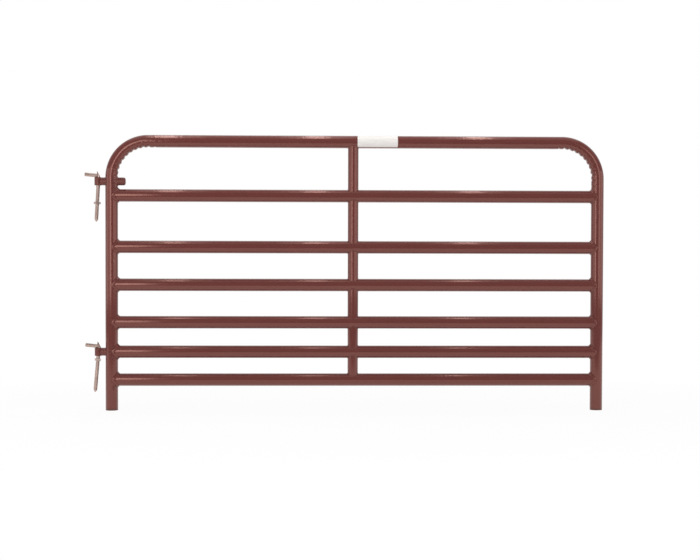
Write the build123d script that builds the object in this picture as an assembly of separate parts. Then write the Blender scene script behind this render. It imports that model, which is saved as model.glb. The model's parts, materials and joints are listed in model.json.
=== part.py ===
"""Livestock gate: a bent tube frame with cross rails, a row of stays and two hook hinges.

Millimetres, +Z up. The gate is laid out from the foot of the hinge upright: that upright's axis
is at X = 0, its foot is at Z = 0, and +X runs to the latch side. Every piece is then moved so
that the origin is the centre of the lower hinge eye. The front faces -Y.
"""

import math
import os

from build123d import *

# Tubes of the gate
gate_width = 2400.0          # over the outsides of the two uprights
gate_height = 1321.0         # from the feet to the top of the frame
frame_tube_od = 60.3
frame_wall = 1.6
rail_tube_od = 60.3
rail_wall = 1.6
stay_tube_od = 50.8
stay_wall = 1.6
stay_offset = -12.0          # from the middle of the gate, minus is towards the hinges
weld_gap = 0.15              # between a coped end and the tube that it is welded to

# Heights of the cross tubes' axes as shares of the gate's height, from the top down
rail_shares = [0.7804, 0.5941, 0.4564, 0.3201, 0.2126, 0.1108]

# Crimped bends of the frame
bend_radius = 174.0          # of the tube's centre line
crimp_depth = 3.6
crimp_round = 10.0           # radius across the bottom of a valley
crimp_wrap = 75.0            # degrees that a valley reaches round the tube, either way
crimp_overrun = 20.0         # of a row's length beyond the bend's own length
hinge_crimp_start = 12.5     # from the lower end of the bend up to the row's first valley
latch_crimp_start = -5.5
crimp_shares = [0.5, 1, 1, 1, 1, 1, 1, 1, 1, 1, 0.5]    # of the depth, for each valley of a row, from below
latch_run_out = 0.3          # share of one more valley, below the latch side's row

# Hinge eyes and the bars that carry them
eye_od = 33.4
eye_bore = 26.6
eye_height = 38.1
eye_chamfer = 0.8
eye_reach = 65.0             # from the eye's axis to the upright's axis
eye_seat = 4.0               # depth to which the bar's end is coped round the eye
bar_od = 38.1
bar_inner_length = 37.0      # of the bar beyond the upright, on the inside of the gate
bar_end_round = 9.0
bar_clearance = 0.1          # round the bar in the upright's holes
upper_hinge_below_bend = 19.0

# Hooks that hang in the eyes
shank_od = 19.05
shank_length = 219.0         # from the pin's axis to the tip
shank_tip_length = 8.0
shank_tip_inset = 5.0
pin_od = 17.5
pin_length = 67.5            # from the shank's axis to the pin's end
pin_chamfer = 1.5
pin_rise = 2.5               # degrees that the pin is bent up from square
corner_round = 4.0           # in the inside corner of the hook
corner_fill_share = 0.92     # rod diameter of the rounding against the pin's
heel_rise = 13.75            # of the heel's peak above the pin
heel_drop = 8.0              # of the heel's low side below the pin's axis
hook_gap = 0.3               # left where a hook lies against its eye
upper_hook_lean = 3.2        # of the shank out of plumb
lower_hook_lean = 5.2
upper_hook_turn = 14.0       # of the pin towards the front
lower_hook_turn = 28.0

# Nuts on the shanks
nut_across_flats = 28.6
nut_thickness = 10.7
nut_chamfer = 1.6
nut_clearance = 0.05         # between the nut's bore and the shank
upper_nut_drop = 130.0       # from the pin's axis down to the middle of the nut
lower_nut_drop = 64.0

# Sizes worked out from those above
frame_radius = frame_tube_od / 2
rail_radius = rail_tube_od / 2
stay_radius = stay_tube_od / 2
eye_radius = eye_od / 2
bore_radius = eye_bore / 2
bar_radius = bar_od / 2
shank_radius = shank_od / 2
pin_radius = pin_od / 2

upright_span = gate_width - frame_tube_od
top_height = gate_height - frame_radius
upright_straight = top_height - bend_radius
bend_length = bend_radius * math.pi / 2
stay_x = upright_span / 2 + stay_offset

rail_heights = [share * gate_height for share in rail_shares]

upper_hinge_height = upright_straight - upper_hinge_below_bend
lower_hinge_height = rail_heights[4]

hoop_path = FilletPolyline(
    (0, 0, 0),
    (0, 0, top_height),
    (upright_span, 0, top_height),
    (upright_span, 0, 0),
    radius=bend_radius,
)


def tube(outer_radius, wall, length):
    """A straight round tube along Z, centred on the origin."""
    return Cylinder(outer_radius, length) - Cylinder(outer_radius - wall, length)


def crimp_valleys():
    """Pairs of a distance along the frame tube and a depth, for the valleys of both bends."""
    pitch = (bend_length + crimp_overrun) / (len(crimp_shares) - 1)
    hinge_row = [(hinge_crimp_start + n * pitch, share) for n, share in enumerate(crimp_shares)]
    latch_row = [(latch_crimp_start + n * pitch, share) for n, share in enumerate(crimp_shares)]
    latch_row.append((latch_crimp_start - pitch, latch_run_out))
    hinge_valleys = [(upright_straight + rise, share * crimp_depth) for rise, share in hinge_row]
    latch_foot = hoop_path.length - upright_straight
    latch_valleys = [(latch_foot - rise, share * crimp_depth) for rise, share in latch_row]
    return hinge_valleys + latch_valleys


def crimp_ring(place, depth, wall_depth):
    """A ring that bites into the inside of a bend and clears its outside.

    The ring stands off-centre round the tube, so that its bite fades out along the tube's sides.
    wall_depth thickens it, so that the tube's inner wall follows the outer one.
    """
    offset = depth / (1 - math.cos(math.radians(crimp_wrap)))
    ring_radius = frame_radius - depth + offset + crimp_round
    along = hoop_path.tangent_at(place, PositionMode.LENGTH)
    inside = Vector(0, 1, 0).cross(along)
    centre = hoop_path.position_at(place, PositionMode.LENGTH) - inside * offset
    return Plane(centre, x_dir=inside, z_dir=along) * Torus(ring_radius, crimp_round + wall_depth)


def crimped_rod(radius, wall_depth):
    """The frame's whole run as a solid rod with the crimps pressed into its bends."""
    rod = sweep(Circle(radius), path=hoop_path)
    return rod - [crimp_ring(place, depth, wall_depth) for place, depth in crimp_valleys()]


def frame_hoop():
    """Both uprights and the top in one bent tube, with holes for the hinge bars."""
    hoop = crimped_rod(frame_radius, 0) - crimped_rod(frame_radius - frame_wall, frame_wall)
    hole = Rot(0, 90, 0) * Cylinder(bar_radius + bar_clearance, 2 * frame_tube_od)
    return hoop - Pos(0, 0, upper_hinge_height) * hole - Pos(0, 0, lower_hinge_height) * hole


def rail(height):
    """A cross tube, coped at both ends to saddle the uprights."""
    body = Pos(upright_span / 2, 0, height) * Rot(0, 90, 0) * tube(rail_radius, rail_wall, upright_span)
    cope = Pos(0, 0, height) * Cylinder(frame_radius + weld_gap, 2 * rail_tube_od)
    return body - cope - Pos(upright_span, 0, 0) * cope


def stay(upper_height, upper_radius, lower_height):
    """An upright tube, coped at both ends to saddle the cross tubes above and below it."""
    length = upper_height - lower_height
    body = Pos(stay_x, 0, (upper_height + lower_height) / 2) * tube(stay_radius, stay_wall, length)
    lying = Pos(stay_x, 0, 0) * Rot(0, 90, 0)
    upper_cope = Pos(0, 0, upper_height) * lying * Cylinder(upper_radius + weld_gap, 2 * stay_tube_od)
    lower_cope = Pos(0, 0, lower_height) * lying * Cylinder(rail_radius + weld_gap, 2 * stay_tube_od)
    return body - upper_cope - lower_cope


def hinge_eye(height):
    """A short piece of pipe with an upright bore."""
    pipe = tube(eye_radius, eye_radius - bore_radius, eye_height)
    pipe = chamfer(pipe.edges().filter_by(GeomType.CIRCLE), length=eye_chamfer)
    return Pos(-eye_reach, 0, height) * pipe


def hinge_bar(height):
    """A round bar through the upright, coped to its eye and rounded at the other end."""
    start = eye_radius - eye_seat
    end = eye_reach + frame_radius + bar_inner_length
    bar = Pos((start + end) / 2, 0, 0) * Rot(0, 90, 0) * Cylinder(bar_radius, end - start)
    bar = fillet(bar.edges().group_by(Axis.X)[-1], radius=bar_end_round)
    bar -= Cylinder(eye_radius + weld_gap, 2 * bar_od)
    return Pos(-eye_reach, 0, height) * bar


def hook_place(hinge_height, lean, turn):
    """Where a hook's corner lies, with its shank against the eye's back and its pin on the rim."""
    tilt = math.radians(lean)
    pin_tilt = math.radians(lean + pin_rise)
    shank_back = bore_radius - hook_gap - shank_radius / math.cos(tilt)
    rise = pin_radius + hook_gap - (bore_radius + shank_back) * math.sin(pin_tilt)
    corner = Pos(-shank_back - rise * math.sin(tilt), 0, eye_height / 2 + rise * math.cos(tilt))
    return Pos(-eye_reach, 0, hinge_height) * Rot(0, 0, 180 + turn) * corner * Rot(0, -lean, 0)


def hook():
    """A hook with its corner at the origin, its shank down -Z and its pin towards +X."""
    peak = pin_radius + heel_rise
    shank = Pos(0, 0, (peak - shank_length) / 2) * Cylinder(shank_radius, peak + shank_length)
    tip = shank.edges().group_by(Axis.Z)[0]
    shank = chamfer(tip, length=shank_tip_length, length2=shank_tip_inset)
    pin = Pos(pin_length / 2, 0, 0) * Rot(0, 90, 0) * Cylinder(pin_radius, pin_length)
    pin = Rot(0, -pin_rise, 0) * chamfer(pin.edges().group_by(Axis.X)[-1], length=pin_chamfer)
    turn_radius = shank_radius + corner_round
    turn_end = Vector(2 * turn_radius, 0, 0).rotate(Axis.Y, -pin_rise)
    turn = FilletPolyline((0, 0, -2 * turn_radius), (0, 0, 0), turn_end, radius=turn_radius)
    start = Plane((0, 0, -2 * turn_radius))
    corner = sweep(start * Circle(pin_radius * corner_fill_share), path=turn)
    slope = Vector(-(peak + heel_drop), 0, shank_od)
    heel = Plane((shank_radius, 0, peak), z_dir=slope)
    return split(shank + pin + corner, bisect_by=heel, keep=Keep.BOTTOM)


def nut():
    """A hexagon nut with both ends of its corners chamfered, centred on the origin."""
    blank = extrude(RegularPolygon(nut_across_flats / 2, 6, major_radius=False), nut_thickness / 2, both=True)
    across_corners = nut_across_flats / math.cos(math.pi / 6)
    turned = Cylinder(across_corners / 2, nut_thickness)
    turned = chamfer(turned.edges().filter_by(GeomType.CIRCLE), length=nut_chamfer / 2, length2=nut_chamfer)
    return (blank & turned) - Cylinder(shank_radius + nut_clearance, nut_thickness)


cross_heights = [top_height] + rail_heights
cross_radii = [frame_radius] + [rail_radius] * len(rail_heights)
upper_hook_place = hook_place(upper_hinge_height, upper_hook_lean, upper_hook_turn)
lower_hook_place = hook_place(lower_hinge_height, lower_hook_lean, lower_hook_turn)

pieces = {"frame_hoop": frame_hoop()}
for number, height in enumerate(rail_heights, start=1):
    pieces[f"rail_{number}"] = rail(height)
for number, height in enumerate(rail_heights, start=1):
    pieces[f"stay_{number}"] = stay(cross_heights[number - 1], cross_radii[number - 1], height)
pieces["upper_hinge_eye"] = hinge_eye(upper_hinge_height)
pieces["lower_hinge_eye"] = hinge_eye(lower_hinge_height)
pieces["upper_hinge_bar"] = hinge_bar(upper_hinge_height)
pieces["lower_hinge_bar"] = hinge_bar(lower_hinge_height)
pieces["upper_hook"] = upper_hook_place * hook()
pieces["lower_hook"] = lower_hook_place * hook()
pieces["upper_hook_nut"] = upper_hook_place * Pos(0, 0, -upper_nut_drop) * nut()
pieces["lower_hook_nut"] = lower_hook_place * Pos(0, 0, -lower_nut_drop) * nut()

to_gate_origin = Pos(eye_reach, 0, -lower_hinge_height)
os.makedirs("parts", exist_ok=True)
for name, piece in pieces.items():
    export_step(to_gate_origin * piece, f"parts/{name}.step")
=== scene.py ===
"""A tube livestock gate with crimped bends and loose hinge hooks, on a white studio floor.

Metres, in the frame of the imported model: the origin is the centre of the lower hinge eye, +X runs
along the gate to its latch side, +Z is up, and the front faces -Y.
"""

import json
import math

import bpy
from mathutils import Matrix, Vector, noise


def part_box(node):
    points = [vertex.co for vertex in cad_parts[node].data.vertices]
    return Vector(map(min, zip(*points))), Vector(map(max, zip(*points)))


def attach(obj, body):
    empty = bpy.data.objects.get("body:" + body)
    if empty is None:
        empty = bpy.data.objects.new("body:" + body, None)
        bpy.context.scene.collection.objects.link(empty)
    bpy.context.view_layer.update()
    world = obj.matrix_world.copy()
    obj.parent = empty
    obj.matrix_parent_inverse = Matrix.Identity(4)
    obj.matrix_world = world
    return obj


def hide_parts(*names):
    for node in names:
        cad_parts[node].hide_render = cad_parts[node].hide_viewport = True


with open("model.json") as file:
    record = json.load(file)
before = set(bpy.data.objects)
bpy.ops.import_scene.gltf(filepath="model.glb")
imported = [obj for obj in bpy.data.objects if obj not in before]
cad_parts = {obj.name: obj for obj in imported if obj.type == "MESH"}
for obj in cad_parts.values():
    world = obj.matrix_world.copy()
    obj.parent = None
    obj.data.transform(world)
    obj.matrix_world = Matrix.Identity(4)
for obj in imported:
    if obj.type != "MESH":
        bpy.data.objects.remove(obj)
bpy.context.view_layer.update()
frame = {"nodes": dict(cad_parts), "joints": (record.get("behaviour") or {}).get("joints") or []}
nodes = frame["nodes"]


# Frame hoop
# One steel tube, bent cold into both uprights and the top, with a wrinkled inside to each bend.
# The welded gate is coated all over in a glossy red-brown paint, so every fixed piece shares it.
hoop_low, hoop_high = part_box("frame_hoop")
tube_radius = (hoop_high.y - hoop_low.y) / 2
hinge_upright_x = hoop_low.x + tube_radius
latch_upright_x = hoop_high.x - tube_radius
top_tube_z = hoop_high.z - tube_radius
foot_z = hoop_low.z

paint_deep = (0.1116, 0.0254, 0.0233, 1.0)
paint_bright = (0.1323, 0.0318, 0.0293, 1.0)
paint_dust = (0.23, 0.18, 0.153, 1.0)
paint_shine = (1.0, 0.57, 0.47, 1.0)
paint_ior = 1.64
paint_smooth = 0.07
paint_rough = 0.12
# The three values below darken the feet: a scuffed cut end together with a painted contact shadow
foot_scuff_shadow_dark = (0.020, 0.0085, 0.0078, 1.0)
foot_scuff_shadow_height = 0.014
foot_scuff_shadow_amount = 0.75


def put(tree, kind, inputs, **settings):
    """Adds a node. An input is a value, or a pair of another node and the name of its output."""
    made = tree.nodes.new(kind)
    for setting, value in settings.items():
        setattr(made, setting, value)
    for socket, value in inputs.items():
        wire(tree, value, made.inputs[socket])
    return made


def wire(tree, value, socket):
    """Sets a socket to a value, or links it to the named output of a node."""
    if isinstance(value, tuple) and isinstance(value[0], bpy.types.Node):
        tree.links.new(value[0].outputs[value[1]], socket)
    else:
        socket.default_value = value


def new_group(name, inputs, output):
    """A shader group with a Place, some value inputs and one value output, and its input node."""
    group = bpy.data.node_groups.new(name, "ShaderNodeTree")
    group.interface.new_socket("Place", in_out="INPUT", socket_type="NodeSocketVector")
    for socket in inputs:
        group.interface.new_socket(socket, in_out="INPUT", socket_type="NodeSocketFloat")
    group.interface.new_socket(output, in_out="OUTPUT", socket_type="NodeSocketFloat")
    return group, put(group, "NodeGroupInput", {})


# Dust lies in soft patches on what faces up
settled_dust, dust_in = new_group("settled_dust", ["Patch Scale", "Amount"], "Mask")
dust_patch = put(settled_dust, "ShaderNodeTexNoise", {
    "Vector": (dust_in, "Place"), "Scale": (dust_in, "Patch Scale"), "Detail": 6.0, "Roughness": 0.62})
dust_cover = put(settled_dust, "ShaderNodeMapRange", {
    "Value": (dust_patch, "Fac"), "From Min": 0.42, "From Max": 0.72})
dust_facing = put(settled_dust, "ShaderNodeNewGeometry", {})
dust_up = put(settled_dust, "ShaderNodeSeparateXYZ", {"Vector": (dust_facing, "Normal")})
dust_slope = put(settled_dust, "ShaderNodeMapRange", {
    "Value": (dust_up, "Z"), "From Min": 0.1, "From Max": 1.0, "To Max": (dust_in, "Amount")})
dust_mask = put(settled_dust, "ShaderNodeMath", {
    0: (dust_cover, "Result"), 1: (dust_slope, "Result")}, operation="MULTIPLY")
put(settled_dust, "NodeGroupOutput", {"Mask": (dust_mask, "Value")})

gate_paint = bpy.data.materials.new("gate_paint_coat")
gate_paint.use_nodes = True
paint = gate_paint.node_tree
paint_place = put(paint, "ShaderNodeTexCoord", {})
paint_cloud = put(paint, "ShaderNodeTexNoise", {
    "Vector": (paint_place, "Object"), "Scale": 9.0, "Detail": 5.0, "Roughness": 0.6})
paint_tint = put(paint, "ShaderNodeMixRGB", {
    "Fac": (paint_cloud, "Fac"), "Color1": paint_deep, "Color2": paint_bright}, name="tint")
paint_dust_mask = put(paint, "ShaderNodeGroup", {}, node_tree=settled_dust)
wire(paint, (paint_place, "Object"), paint_dust_mask.inputs["Place"])
paint_dust_mask.inputs["Patch Scale"].default_value = 60.0
paint_dust_mask.inputs["Amount"].default_value = 0.08
paint_color = put(paint, "ShaderNodeMixRGB", {
    "Fac": (paint_dust_mask, "Mask"), "Color1": (paint_tint, "Color"), "Color2": paint_dust})
# The paint darkens over the last few millimetres above each foot: partly the scuffed cut end of the
# tube, partly a painted contact shadow where it stands on the floor
paint_heights = put(paint, "ShaderNodeSeparateXYZ", {"Vector": (paint_place, "Object")})
paint_scuff_shadow_mask = put(paint, "ShaderNodeMapRange", {
    "Value": (paint_heights, "Z"), "From Min": foot_z, "From Max": foot_z + foot_scuff_shadow_height,
    "To Min": foot_scuff_shadow_amount, "To Max": 0.0})
paint_feet = put(paint, "ShaderNodeMixRGB", {
    "Fac": (paint_scuff_shadow_mask, "Result"), "Color1": (paint_color, "Color"), "Color2": foot_scuff_shadow_dark})
paint_flow = put(paint, "ShaderNodeTexNoise", {
    "Vector": (paint_place, "Object"), "Scale": 38.0, "Detail": 3.0})
paint_gloss = put(paint, "ShaderNodeMapRange", {
    "Value": (paint_flow, "Fac"), "To Min": paint_smooth, "To Max": paint_rough}, name="gloss")
paint_peel = put(paint, "ShaderNodeTexNoise", {
    "Vector": (paint_place, "Object"), "Scale": 310.0, "Detail": 2.0, "Roughness": 0.45})
paint_bump = put(paint, "ShaderNodeBump", {
    "Height": (paint_peel, "Fac"), "Strength": 0.08, "Distance": 0.0006})
paint_shader = paint.nodes["Principled BSDF"]
paint_shader.inputs["IOR"].default_value = paint_ior
paint_shader.inputs["Specular Tint"].default_value = paint_shine
wire(paint, (paint_feet, "Color"), paint_shader.inputs["Base Color"])
wire(paint, (paint_gloss, "Result"), paint_shader.inputs["Roughness"])
wire(paint, (paint_bump, "Normal"), paint_shader.inputs["Normal"])


def finish_node(name, material):
    """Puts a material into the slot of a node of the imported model."""
    nodes[name].data.materials[0] = material


finish_node("frame_hoop", gate_paint)


# Rails
# Six straight tubes of the frame's steel and diameter. Their ends are coped to sit on the uprights
# and welded by hand all round, with beads that are full at the front and hollow in the corners.
rail_names = [f"rail_{number}" for number in range(1, 7)]
for rail_name in rail_names:
    finish_node(rail_name, gate_paint)

to_latch = Vector((1.0, 0.0, 0.0))
upward = Vector((0.0, 0.0, 1.0))
weld_rounds = 176
weld_steps = 9
weld_bulge = 0.0014
weld_bulge_change = 0.5
weld_hollow = 0.20
weld_narrow = 0.55
weld_leg_change = 0.22
weld_lump_scale = 3.0
weld_grain = 0.0010
weld_grain_scale = 9.0
weld_grain_seed = 5.0
weld_grain_step = 0.4
weld_ripple = 0.00022
weld_ripple_pitch = 0.0034
weld_ripple_lag = 2.4
weld_root = 0.0012
weld_toe_sink = 0.0003
seam_reach = 0.985
seam_step = 0.01
back_clearance = 0.00005
back_limit = hoop_high.y - back_clearance


def seam_point(angle, branch_radius, main_radius):
    """A point on the seam of a tube along +Z that ends on the side of a tube along +X."""
    across = min(branch_radius, seam_reach * main_radius) * math.sin(angle)
    height = math.sqrt(main_radius ** 2 - across ** 2)
    return Vector((branch_radius * math.cos(angle), branch_radius * math.sin(angle), height))


def weld_noise(angle, scale, depth):
    """Noise that runs round a bead and closes on itself."""
    return noise.noise(Vector((scale * math.cos(angle), scale * math.sin(angle), depth)))


def saddle_bead(joint, branch_way, main_way, branch_radius, main_radius, legs, seed):
    """A weld bead round the end of one tube on the side of another, which meet at right angles.

    legs are the bead's legs on the side that main_way points to and on the opposite side. The bead
    is full where the two walls run in line, and hollow where they make a corner.
    """
    bpy.ops.object.select_all(action="DESELECT")
    bpy.ops.mesh.primitive_torus_add(major_segments=weld_rounds, minor_segments=weld_steps)
    bead = bpy.context.object
    side_way = branch_way.cross(main_way)
    ripples = round(2 * math.pi * branch_radius / weld_ripple_pitch)
    for index, vertex in enumerate(bead.data.vertices):
        turn, step = divmod(index, weld_steps)
        angle = 2 * math.pi * turn / weld_rounds
        point = seam_point(angle, branch_radius, main_radius)
        before = seam_point(angle - seam_step, branch_radius, main_radius)
        after = seam_point(angle + seam_step, branch_radius, main_radius)
        tangent = (after - before).normalized()
        branch_normal = Vector((math.cos(angle), math.sin(angle), 0.0))
        main_normal = Vector((0.0, point.y, point.z)).normalized()
        middle = (branch_normal + main_normal).normalized()
        up_branch = tangent.cross(branch_normal).normalized()
        up_branch *= math.copysign(1.0, up_branch.z)
        over_main = tangent.cross(main_normal).normalized()
        over_main *= math.copysign(1.0, over_main.dot(branch_normal) - over_main.dot(up_branch))
        lump = weld_noise(angle, weld_lump_scale, seed)
        grain = weld_noise(angle, weld_grain_scale, seed + weld_grain_seed + weld_grain_step * step)
        share = (1.0 + math.cos(angle)) / 2
        leg = (legs[0] * share + legs[1] * (1.0 - share)) * (1.0 + weld_leg_change * lump)
        in_line = branch_normal.dot(main_normal)
        main_leg = leg * (1.0 - weld_narrow * in_line)
        if step == 0:
            place = point - middle * weld_root
        else:
            across = (step - 1) / (weld_steps - 2)
            toe = (point + up_branch * leg).lerp(point + over_main * main_leg, across)
            crown = 4.0 * across * (1.0 - across)
            wave = weld_ripple * math.sin(ripples * angle - weld_ripple_lag * crown)
            bulge = weld_bulge * (1.0 + weld_bulge_change * lump) * in_line
            hollow = weld_hollow * leg * (1.0 - in_line)
            rise = bulge - hollow + wave + weld_grain * grain
            place = toe + middle * (crown * rise - weld_toe_sink * (1.0 - crown))
        placed = joint + main_way * place.x + side_way * place.y + branch_way * place.z
        placed.y = min(placed.y, back_limit)
        vertex.co = placed
    return bead


def join_pieces(name, pieces, material):
    """Joins pieces into one object with outward normals, smooth shading and a material."""
    bpy.ops.object.select_all(action="DESELECT")
    for piece in pieces:
        piece.select_set(True)
    bpy.context.view_layer.objects.active = pieces[0]
    bpy.ops.object.join()
    joined = bpy.context.object
    joined.name = name
    bpy.ops.object.mode_set(mode="EDIT")
    bpy.ops.mesh.select_all(action="SELECT")
    bpy.ops.mesh.normals_make_consistent(inside=False)
    bpy.ops.object.mode_set(mode="OBJECT")
    bpy.ops.object.shade_smooth()
    joined.data.materials.clear()
    joined.data.materials.append(material)
    return joined


# The welder filled the upper corners more than the lower ones, most of all behind the lower hinge
rail_hinge_legs = (0.0112, 0.0090)
rail_lower_hinge_legs = (0.0120, 0.0095)
rail_latch_legs = (0.0098, 0.0074)
rail_latch_seed = 40.0
rail_seed_step = 1.3
rail_heights = []
rail_beads = []
for number, rail_name in enumerate(rail_names):
    rail_low, rail_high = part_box(rail_name)
    rail_radius = (rail_high.z - rail_low.z) / 2
    rail_z = (rail_high.z + rail_low.z) / 2
    rail_heights.append(rail_z)
    hinge_legs = rail_lower_hinge_legs if rail_name == "rail_5" else rail_hinge_legs
    rail_beads.append(saddle_bead(
        Vector((hinge_upright_x, 0.0, rail_z)), to_latch, upward, rail_radius, tube_radius,
        hinge_legs, rail_seed_step * number))
    rail_beads.append(saddle_bead(
        Vector((latch_upright_x, 0.0, rail_z)), -to_latch, upward, rail_radius, tube_radius,
        rail_latch_legs, rail_latch_seed + rail_seed_step * number))
rail_welds = join_pieces("rail_welds", rail_beads, gate_paint)
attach(rail_welds, "gate")


# Stays
# A row of slimmer tubes of the same steel in the middle of the gate. Each is coped at both ends and
# welded between two cross tubes with a thin bead.
stay_names = [f"stay_{number}" for number in range(1, 7)]
for stay_name in stay_names:
    finish_node(stay_name, gate_paint)

stay_legs = (0.0026, 0.0030)
stay_seed = 80.0
stay_seed_step = 2.9
stay_seed_above = 1.1
stay_low, stay_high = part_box("stay_1")
stay_radius = (stay_high.x - stay_low.x) / 2
stay_x = (stay_high.x + stay_low.x) / 2
stay_beads = []
for number, cross_z in enumerate([top_tube_z] + rail_heights):
    stay_joint = Vector((stay_x, 0.0, cross_z))
    seed = stay_seed + stay_seed_step * number
    if number < len(stay_names):
        stay_beads.append(saddle_bead(
            stay_joint, -upward, to_latch, stay_radius, tube_radius, stay_legs, seed))
    if number > 0:
        stay_beads.append(saddle_bead(
            stay_joint, upward, to_latch, stay_radius, tube_radius, stay_legs, seed + stay_seed_above))
stay_welds = join_pieces("stay_welds", stay_beads, gate_paint)
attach(stay_welds, "gate")


# Hinge bars and eyes
# Thick pieces of pipe welded on round bars, which go right through the hinge upright. They are rough
# hot-rolled stock, so the same paint dries duller and darker on them.
hinge_sides = ("upper", "lower")
hinge_deep = (0.080, 0.0190, 0.0172, 1.0)
hinge_bright = (0.116, 0.0275, 0.0244, 1.0)
hinge_smooth = 0.30
hinge_rough = 0.46
hinge_paint = gate_paint.copy()
hinge_paint.name = "hinge_paint_coat"
hinge_tint = hinge_paint.node_tree.nodes["tint"]
hinge_tint.inputs["Color1"].default_value = hinge_deep
hinge_tint.inputs["Color2"].default_value = hinge_bright
hinge_gloss = hinge_paint.node_tree.nodes["gloss"]
hinge_gloss.inputs["To Min"].default_value = hinge_smooth
hinge_gloss.inputs["To Max"].default_value = hinge_rough
for side in hinge_sides:
    finish_node(f"{side}_hinge_bar", hinge_paint)
    finish_node(f"{side}_hinge_eye", hinge_paint)

bar_outer_legs = (0.0016, 0.0018)
bar_outer_seed = 120.0
bar_inner_legs = (0.0026, 0.0046)
bar_inner_seed = 130.0
eye_ring_radius = 0.0160
eye_ring_tube = 0.0042
eye_ring_rounds = 96
eye_ring_steps = 16
eye_ring_x = 0.0145
eye_ring_lump = 0.0016
eye_ring_lump_scale = 190.0
eye_ring_overhang = 0.0002
eye_wall_middle = 0.0152
bar_heights = {}
hinge_beads = []
for number, side in enumerate(hinge_sides):
    bar_low, bar_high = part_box(f"{side}_hinge_bar")
    eye_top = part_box(f"{side}_hinge_eye")[1].z
    bar_radius = (bar_high.z - bar_low.z) / 2
    bar_z = (bar_high.z + bar_low.z) / 2
    bar_heights[side] = bar_z
    bar_joint = Vector((hinge_upright_x, 0.0, bar_z))
    hinge_beads.append(saddle_bead(
        bar_joint, -to_latch, upward, bar_radius, tube_radius, bar_outer_legs, bar_outer_seed + number))
    if side == "upper":
        hinge_beads.append(saddle_bead(
            bar_joint, to_latch, upward, bar_radius, tube_radius, bar_inner_legs, bar_inner_seed))

    # The bead between the eye and the bar's end keeps clear of the eye's bore and of the pin above
    bpy.ops.object.select_all(action="DESELECT")
    bpy.ops.mesh.primitive_torus_add(
        location=(eye_ring_x, 0.0, bar_z), rotation=(0.0, math.pi / 2, 0.0),
        major_segments=eye_ring_rounds, minor_segments=eye_ring_steps,
        major_radius=eye_ring_radius, minor_radius=eye_ring_tube)
    eye_bead = bpy.context.object
    bpy.ops.object.transform_apply(location=True, rotation=True, scale=True)
    for vertex in eye_bead.data.vertices:
        lump = noise.noise(vertex.co * eye_ring_lump_scale)
        outward = Vector((0.0, vertex.co.y, vertex.co.z - bar_z)).normalized()
        vertex.co += outward * eye_ring_lump * lump
        reach = math.hypot(vertex.co.x, vertex.co.y)
        if reach < eye_wall_middle:
            vertex.co.x *= eye_wall_middle / reach
            vertex.co.y *= eye_wall_middle / reach
        vertex.co.z = min(vertex.co.z, eye_top + eye_ring_overhang)
    hinge_beads.append(eye_bead)

# Rough runs of weld lie between the upper bar and the rail below it, round the lower bar, and under the
# last rail. A lump has its angle in degrees, its height above the bar, its size and its rise.
upper_bar_lumps = [
    (22, 0.018, 0.0045, 0.00504), (33, 0.008, 0.00495, 0.0056), (20, -0.003, 0.0045, 0.00504),
    (31, -0.010, 0.0054, 0.00588), (21, -0.021, 0.00495, 0.0056), (34, -0.028, 0.0054, 0.00588),
    (23, -0.037, 0.00495, 0.00532), (38, -0.044, 0.0063, 0.0056),
]
lower_bar_lumps = [
    (2, 0.030, 0.0045, 0.0042), (13, 0.021, 0.00495, 0.00504), (-5, 0.011, 0.0045, 0.00448),
    (-10, -0.006, 0.00495, 0.00448), (0, -0.017, 0.0045, 0.00504), (11, -0.026, 0.0054, 0.00532),
    (24, -0.034, 0.00495, 0.00476), (36, -0.040, 0.0045, 0.0042),
    (14, -0.166, 0.0045, 0.00476), (31, -0.171, 0.0054, 0.00504), (22, -0.181, 0.0045, 0.0042),
]
lump_sink = 0.0006
lump_grain = 0.28
lump_grain_scale = 1.7
lump_seed_step = 7.3


def weld_lump(degrees, height, size, rise, seed):
    """A lump of weld on the hinge upright, at an angle from its front to the inside of the gate."""
    bpy.ops.object.select_all(action="DESELECT")
    bpy.ops.mesh.primitive_ico_sphere_add(subdivisions=4, radius=1.0)
    lump = bpy.context.object
    angle = math.radians(degrees)
    outward = Vector((math.sin(angle), -math.cos(angle), 0.0))
    along = Vector((math.cos(angle), math.sin(angle), 0.0))
    middle = Vector((hinge_upright_x, 0.0, height)) + outward * (tube_radius - lump_sink)
    for vertex in lump.data.vertices:
        grain = noise.noise(vertex.co * lump_grain_scale + Vector((seed, 0.0, 0.0)))
        spot = vertex.co * (1.0 + lump_grain * grain)
        vertex.co = middle + along * spot.x * size + upward * spot.z * size + outward * spot.y * rise
    return lump


lump_number = 0
for side, lumps in (("upper", upper_bar_lumps), ("lower", lower_bar_lumps)):
    for degrees, above_bar, size, rise in lumps:
        hinge_beads.append(weld_lump(
            degrees, bar_heights[side] + above_bar, size, rise, lump_seed_step * lump_number))
        lump_number += 1
hinge_welds = join_pieces("hinge_welds", hinge_beads, gate_paint)
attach(hinge_welds, "gate")


# Hooks and nuts
# L-shaped hooks of round bar, with a sharp heel and a coarse thread rolled on the shank, hang loose in
# the eyes. The hooks and their thin nuts are zinc plated, and the plate has gone dull and warm.
hook_light = (0.42, 0.308, 0.267, 1.0)
hook_dull = (0.345, 0.254, 0.221, 1.0)
nut_light = (0.46, 0.36, 0.32, 1.0)
nut_dull = (0.30, 0.235, 0.21, 1.0)


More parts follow.
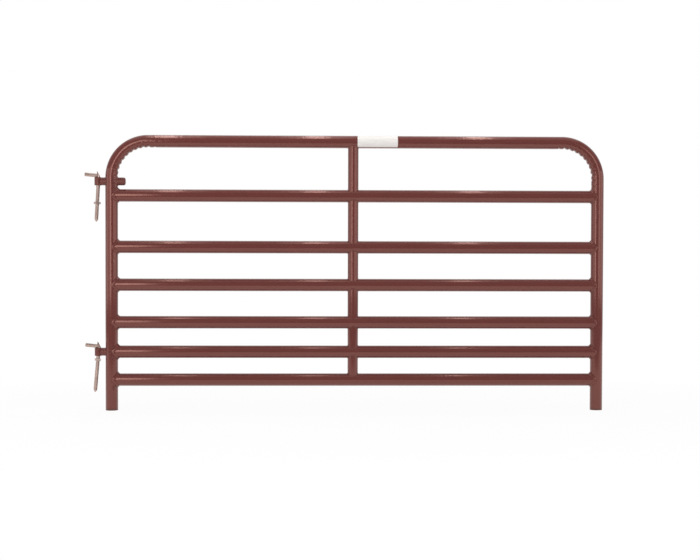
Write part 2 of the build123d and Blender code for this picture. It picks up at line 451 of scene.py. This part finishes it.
def zinc_plate(name, light, dull, smooth, rough):
    """Zinc plate in soft patches, from bright and smooth to dull and rough, with settled dust."""
    plate = bpy.data.materials.new(name)
    plate.use_nodes = True
    tree = plate.node_tree
    place = put(tree, "ShaderNodeTexCoord", {})
    cloud = put(tree, "ShaderNodeTexNoise", {
        "Vector": (place, "Object"), "Scale": 75.0, "Detail": 6.0, "Roughness": 0.65})
    patch = put(tree, "ShaderNodeMapRange", {
        "Value": (cloud, "Fac"), "From Min": 0.34, "From Max": 0.66})
    tint = put(tree, "ShaderNodeMixRGB", {
        "Fac": (patch, "Result"), "Color1": dull, "Color2": light})
    dust = put(tree, "ShaderNodeGroup", {}, node_tree=settled_dust)
    wire(tree, (place, "Object"), dust.inputs["Place"])
    dust.inputs["Patch Scale"].default_value = 140.0
    dust.inputs["Amount"].default_value = 0.25
    color = put(tree, "ShaderNodeMixRGB", {
        "Fac": (dust, "Mask"), "Color1": (tint, "Color"), "Color2": paint_dust})
    gloss = put(tree, "ShaderNodeMapRange", {
        "Value": (patch, "Result"), "To Min": rough, "To Max": smooth})
    grain = put(tree, "ShaderNodeTexNoise", {
        "Vector": (place, "Object"), "Scale": 900.0, "Detail": 3.0})
    bump = put(tree, "ShaderNodeBump", {
        "Height": (grain, "Fac"), "Strength": 0.10, "Distance": 0.0003})
    shader = tree.nodes["Principled BSDF"]
    shader.inputs["Metallic"].default_value = 1.0
    wire(tree, (color, "Color"), shader.inputs["Base Color"])
    wire(tree, (gloss, "Result"), shader.inputs["Roughness"])
    wire(tree, (bump, "Normal"), shader.inputs["Normal"])
    return plate


hook_zinc = zinc_plate("hook_zinc_plate", hook_light, hook_dull, smooth=0.38, rough=0.48)
nut_zinc = zinc_plate("nut_zinc_plate", nut_light, nut_dull, smooth=0.28, rough=0.40)

thread_pitch = 0.00254
thread_crest = 0.00940
thread_root = 0.00795
thread_flat = 0.12
thread_steps = 36
thread_spare_turns = 3
thread_start = 0.052
thread_fade = 0.006
shank_radius = 0.009525
shank_length = 0.219
tip_length = 0.012
tip_inset = 0.0068
nut_drops = {"upper": 0.130, "lower": 0.064}
merge_distance = 0.00001
hook_crease = math.radians(35.0)


def new_object(name, mesh):
    """A new object with a mesh, active and the only one that is selected."""
    made = bpy.data.objects.new(name, mesh)
    bpy.context.scene.collection.objects.link(made)
    bpy.ops.object.select_all(action="DESELECT")
    made.select_set(True)
    bpy.context.view_layer.objects.active = made
    return made


def threaded_rod():
    """The threaded part of a shank along -Z, below a hook whose corner is at the origin."""
    crest_low = thread_pitch * (0.5 - thread_flat / 2)
    crest_high = thread_pitch * (0.5 + thread_flat / 2)
    profile = bpy.data.meshes.new("thread")
    profile.from_pydata(
        [(thread_root, 0.0, 0.0), (thread_crest, 0.0, crest_low), (thread_crest, 0.0, crest_high),
         (thread_root, 0.0, thread_pitch)],
        [(0, 1), (1, 2), (2, 3)], [])
    rod = new_object("thread", profile)
    screw = rod.modifiers.new("thread", "SCREW")
    screw.screw_offset = thread_pitch
    screw.iterations = math.ceil((shank_length - thread_start) / thread_pitch) + thread_spare_turns
    screw.steps = thread_steps
    screw.render_steps = thread_steps
    bpy.ops.object.modifier_apply(modifier="thread")

    # The spare turns are cut off at both ends
    bpy.ops.object.mode_set(mode="EDIT")
    bpy.ops.mesh.select_all(action="SELECT")
    bpy.ops.mesh.remove_doubles(threshold=merge_distance)
    bpy.ops.transform.translate(
        value=(0.0, 0.0, -shank_length - thread_spare_turns / 2 * thread_pitch))
    bpy.ops.mesh.bisect(
        plane_co=(0.0, 0.0, -shank_length), plane_no=upward, use_fill=True, clear_inner=True)
    bpy.ops.mesh.select_all(action="SELECT")
    bpy.ops.mesh.bisect(
        plane_co=(0.0, 0.0, -thread_start), plane_no=upward, use_fill=True, clear_outer=True)
    bpy.ops.object.mode_set(mode="OBJECT")

    # The thread runs out into the plain shank above, and the tip is pointed
    for vertex in rod.data.vertices:
        reach = math.hypot(vertex.co.x, vertex.co.y)
        fade = max(0.0, 1.0 - (-thread_start - vertex.co.z) / thread_fade)
        wanted = reach + (thread_crest - reach) * fade
        tip = max(0.0, 1.0 - (vertex.co.z + shank_length) / tip_length)
        wanted = min(wanted, shank_radius - tip_inset * tip)
        vertex.co.x *= wanted / reach
        vertex.co.y *= wanted / reach
    return rod


for side in hinge_sides:
    finish_node(f"{side}_hook_nut", nut_zinc)
    nut_turn = next(joint for joint in frame["joints"] if joint["name"] == f"{side}_nut_turn")
    shank_way = Vector(nut_turn["axis"]).normalized()
    corner = Vector(nut_turn["pos_m"]) + shank_way * nut_drops[side]

    hook = new_object(f"{side}_threaded_hook", nodes[f"{side}_hook"].data.copy())
    bpy.ops.object.mode_set(mode="EDIT")
    bpy.ops.mesh.select_all(action="SELECT")
    bpy.ops.mesh.remove_doubles(threshold=merge_distance)
    bpy.ops.mesh.bisect(
        plane_co=corner - shank_way * thread_start, plane_no=shank_way, use_fill=True, clear_inner=True)
    bpy.ops.object.mode_set(mode="OBJECT")

    thread = threaded_rod()
    shank_turn = shank_way.to_track_quat("Z", "X").to_matrix().to_4x4()
    thread.data.transform(Matrix.Translation(corner) @ shank_turn)
    hook = join_pieces(f"{side}_threaded_hook", [hook, thread], hook_zinc)
    bpy.ops.object.shade_smooth_by_angle(angle=hook_crease)
    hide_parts(f"{side}_hook")
    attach(hook, f"{side}_hook")


# Label
# A plain white film, stuck round the front and top of the top tube to the right of the middle. It has
# a few small bubbles under it and has yellowed a little in patches.
gate_middle_x = (hinge_upright_x + latch_upright_x) / 2
label_start = 0.008
label_length = 0.193
label_low = math.radians(-54.0)
label_high = math.radians(80.0)
label_corner = 0.006
label_film = 0.00018
label_columns = 48
label_rows = 72
label_crease = math.radians(40.0)
label_white = (0.83, 0.795, 0.765, 1.0)
label_stain = (0.77, 0.71, 0.65, 1.0)
bubble_height = 0.00012
bubble_scale = 60.0
bubble_seed = 3.0
bubble_onset = 0.25

label_radius = tube_radius + label_film
label_height = label_radius * (label_high - label_low)
bpy.ops.object.select_all(action="DESELECT")
bpy.ops.mesh.primitive_grid_add(x_subdivisions=label_columns, y_subdivisions=label_rows, size=2.0)
label = bpy.context.object
label.name = "label_film"
for vertex in label.data.vertices:
    rise = vertex.co.y * label_height / 2
    past = max(0.0, abs(rise) - label_height / 2 + label_corner)
    inset = label_corner - math.sqrt(max(0.0, label_corner ** 2 - past ** 2))
    along = vertex.co.x * (label_length / 2 - inset)
    angle = (label_high + label_low) / 2 + rise / label_radius
    blister = noise.noise(Vector((along * bubble_scale, rise * bubble_scale, bubble_seed)))
    reach = label_radius + bubble_height * max(0.0, blister - bubble_onset)
    vertex.co = Vector((
        gate_middle_x + label_start + label_length / 2 + along, -reach * math.cos(angle),
        top_tube_z + reach * math.sin(angle)))
film = label.modifiers.new("film", "SOLIDIFY")
film.thickness = label_film
film.offset = -1.0
bpy.ops.object.modifier_apply(modifier="film")
bpy.ops.object.shade_smooth_by_angle(angle=label_crease)

white_film = bpy.data.materials.new("white_film")
white_film.use_nodes = True
film_tree = white_film.node_tree
film_place = put(film_tree, "ShaderNodeTexCoord", {})
film_cloud = put(film_tree, "ShaderNodeTexNoise", {
    "Vector": (film_place, "Object"), "Scale": 24.0, "Detail": 6.0, "Roughness": 0.7})
film_patch = put(film_tree, "ShaderNodeMapRange", {
    "Value": (film_cloud, "Fac"), "From Min": 0.55, "From Max": 0.85, "To Max": 0.5})
film_color = put(film_tree, "ShaderNodeMixRGB", {
    "Fac": (film_patch, "Result"), "Color1": label_white, "Color2": label_stain})
film_gloss = put(film_tree, "ShaderNodeMapRange", {
    "Value": (film_cloud, "Fac"), "To Min": 0.50, "To Max": 0.66})
film_shader = film_tree.nodes["Principled BSDF"]
film_shader.inputs["Specular IOR Level"].default_value = 0.25
wire(film_tree, (film_color, "Color"), film_shader.inputs["Base Color"])
wire(film_tree, (film_gloss, "Result"), film_shader.inputs["Roughness"])
label.data.materials.clear()
label.data.materials.append(white_film)
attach(label, "gate")


# Studio
# A white paper floor that runs out of sight, in a room that is dim behind the camera. Narrow strips and
# a wide panel hang over the gate, and upright soft boxes stand in a wide ring round its front.
floor_white = 0.86
floor_glow = 0.10
floor_bleach = 0.92
floor_reflected = 1.5
floor_fade_start = 0.5
floor_wide_fade = 3.0
floor_deep_fade = 2.2
floor_front = -2.4
floor_back = 5.0
floor_width = 12.0

bpy.ops.object.select_all(action="DESELECT")
bpy.ops.mesh.primitive_plane_add(size=1.0)
floor = bpy.context.object
floor.name = "floor"
bpy.ops.object.mode_set(mode="EDIT")
bpy.ops.transform.resize(value=(floor_width, floor_back - floor_front, 1.0))
bpy.ops.transform.translate(value=(gate_middle_x, (floor_back + floor_front) / 2, foot_z))
bpy.ops.object.mode_set(mode="OBJECT")
floor_paper = bpy.data.materials.new("white_floor")
floor_paper.use_nodes = True
paper = floor_paper.node_tree
paper.nodes.remove(paper.nodes["Principled BSDF"])
paper_matt = put(paper, "ShaderNodeBsdfDiffuse", {
    "Color": (floor_white, floor_white, floor_white, 1.0)})
paper_ray = put(paper, "ShaderNodeLightPath", {})
paper_seen = put(paper, "ShaderNodeMath", {
    0: (paper_ray, "Is Camera Ray"), 1: (paper_ray, "Is Glossy Ray")}, operation="MAXIMUM")
paper_any = put(paper, "ShaderNodeMath", {
    0: (paper_seen, "Value"), 1: (paper_ray, "Is Transmission Ray")}, operation="MAXIMUM")
paper_level = put(paper, "ShaderNodeMath", {
    0: (paper_any, "Value"), 1: floor_glow}, operation="MULTIPLY")
paper_glow = put(paper, "ShaderNodeEmission", {"Strength": (paper_level, "Value")})
paper_near = put(paper, "ShaderNodeAddShader", {0: (paper_matt, "BSDF"), 1: (paper_glow, "Emission")})
paper_strength = put(paper, "ShaderNodeMapRange", {
    "Value": (paper_ray, "Is Glossy Ray"), "To Min": 1.0, "To Max": floor_reflected})
paper_white = put(paper, "ShaderNodeEmission", {"Strength": (paper_strength, "Result")})
paper_place = put(paper, "ShaderNodeTexCoord", {})
paper_shift = put(paper, "ShaderNodeMapping", {
    "Vector": (paper_place, "Object"), "Location": (-gate_middle_x / floor_wide_fade, 0.0, 0.0),
    "Scale": (1.0 / floor_wide_fade, 1.0 / floor_deep_fade, 0.0)})
paper_far = put(paper, "ShaderNodeVectorMath", {0: (paper_shift, "Vector")}, operation="LENGTH")
paper_close = put(paper, "ShaderNodeMath", {
    0: (paper_any, "Value"), 1: floor_bleach}, operation="MULTIPLY")
paper_fade = put(paper, "ShaderNodeMapRange", {
    "Value": (paper_far, "Value"), "From Min": floor_fade_start, "From Max": 1.0,
    "To Min": (paper_close, "Value"), "To Max": (paper_any, "Value")}, interpolation_type="SMOOTHSTEP")
paper_mix = put(paper, "ShaderNodeMixShader", {
    "Fac": (paper_fade, "Result"), 1: (paper_near, "Shader"), 2: (paper_white, "Emission")})
wire(paper, (paper_mix, "Shader"), paper.nodes["Material Output"].inputs["Surface"])
floor.data.materials.append(floor_paper)

room_dim = 0.5
room_white = 1.0
studio = bpy.data.worlds.new("studio")
bpy.context.scene.world = studio
studio.use_nodes = True
room = studio.node_tree
room_ray = put(room, "ShaderNodeLightPath", {})
room_place = put(room, "ShaderNodeTexCoord", {})
room_way = put(room, "ShaderNodeSeparateXYZ", {"Vector": (room_place, "Generated")})
room_back = put(room, "ShaderNodeMapRange", {
    "Value": (room_way, "Y"), "From Min": 0.1, "From Max": 0.5})
room_mirror = put(room, "ShaderNodeMath", {
    0: (room_ray, "Is Glossy Ray"), 1: (room_ray, "Is Transmission Ray")}, operation="MAXIMUM")
room_mirrored = put(room, "ShaderNodeMath", {
    0: (room_mirror, "Value"), 1: (room_back, "Result")}, operation="MULTIPLY")
room_seen = put(room, "ShaderNodeMath", {
    0: (room_ray, "Is Camera Ray"), 1: (room_mirrored, "Value")}, operation="MAXIMUM")
room_level = put(room, "ShaderNodeMapRange", {
    "Value": (room_seen, "Value"), "To Min": room_dim, "To Max": room_white})
room_light = room.nodes["Background"]
room_light.inputs["Color"].default_value = (1.0, 1.0, 1.0, 1.0)
wire(room, (room_level, "Result"), room_light.inputs["Strength"])


def soft_box(name, place, target, width, height, level):
    """A rectangular lamp that faces a point and stays out of the picture.

    At level 1 its face is as bright as white paper.
    """
    lamp = bpy.data.lights.new(name, "AREA")
    lamp.shape = "RECTANGLE"
    lamp.size = width
    lamp.size_y = height
    lamp.energy = level * math.pi * width * height
    box = bpy.data.objects.new(name, lamp)
    bpy.context.scene.collection.objects.link(box)
    box.location = place
    box.rotation_euler = (Vector(target) - Vector(place)).to_track_quat("-Z", "Y").to_euler()
    box.visible_camera = False


def hanging_box(name, offset, height, width, depth, level):
    """A lamp over the gate that faces straight down, at an offset along it from its middle."""
    place_x = gate_middle_x + offset
    soft_box(name, (place_x, 0.0, height), (place_x, 0.0, 0.0), width, depth, level)


def standing_box(name, start, end, low, high, level):
    """An upright lamp between two points of the floor, which are given from the gate's middle."""
    start, end = Vector((*start, 0.0)), Vector((*end, 0.0))
    run = end - start
    place = (start + end) / 2 + Vector((gate_middle_x, 0.0, foot_z + (low + high) / 2))
    facing = Vector((-run.y, run.x, 0.0))
    soft_box(name, place, place + facing, run.length, high - low, level)


# Each strip has a dim edge, so its line of light on the tubes is soft
strip_offsets = (-1.04, -0.17, 0.77)
strip_depth = 2.0
for number, offset in enumerate(strip_offsets, start=1):
    hanging_box(
        f"top_strip_{number}", offset, height=2.7, width=0.13, depth=strip_depth, level=5.0)
    hanging_box(
        f"top_strip_edge_{number}", offset, height=2.72, width=0.42, depth=strip_depth, level=0.8)
hanging_box("ceiling_panel", offset=0.0, height=2.9, width=4.4, depth=2.6, level=0.38)

box_low = 0.35
box_high = 1.9
key_box_high = 3.0
latch_box_high = 3.2
standing_box("side_box_hinge_side", (-4.44, 0.4), (-4.14, -1.9), box_low, box_high, level=1.4)
standing_box("front_box_hinge_side", (-4.04, -2.2), (-2.74, -4.0), box_low, box_high, level=1.35)
standing_box("key_box", (-2.74, -4.2), (-1.41, -4.5), box_low, key_box_high, level=4.0)
standing_box("front_box_latch_side", (2.58, -4.6), (4.36, -3.4), box_low, latch_box_high, level=2.2)
standing_box("side_box_latch_side", (4.66, -3.0), (4.76, 0.4), box_low, box_high, level=1.4)


# Camera
# It stands eight metres in front of the gate, a little to the hinge side and below the gate's top,
# and its place, lens and turn are the ones that bring the gate to its place in the photograph.
photo_width = 700
focal_pixels = 1661.3
sensor_width = 36.0
camera_offset = -0.2908
camera_distance = 8.0
camera_height = 0.8693
camera_pitch = 1.73
camera_yaw = 1.89
camera_roll = 0.16
camera_data = bpy.data.cameras.new("camera")
camera_data.sensor_fit = "HORIZONTAL"
camera_data.sensor_width = sensor_width
camera_data.lens = focal_pixels * sensor_width / photo_width
camera = bpy.data.objects.new("camera", camera_data)
bpy.context.scene.collection.objects.link(camera)
camera.location = (gate_middle_x + camera_offset, -camera_distance, foot_z + camera_height)
camera.rotation_euler = (
    math.radians(90.0 - camera_pitch), math.radians(-camera_roll), math.radians(-camera_yaw))
bpy.context.scene.camera = camera
bpy.context.scene.view_settings.view_transform = "Standard"
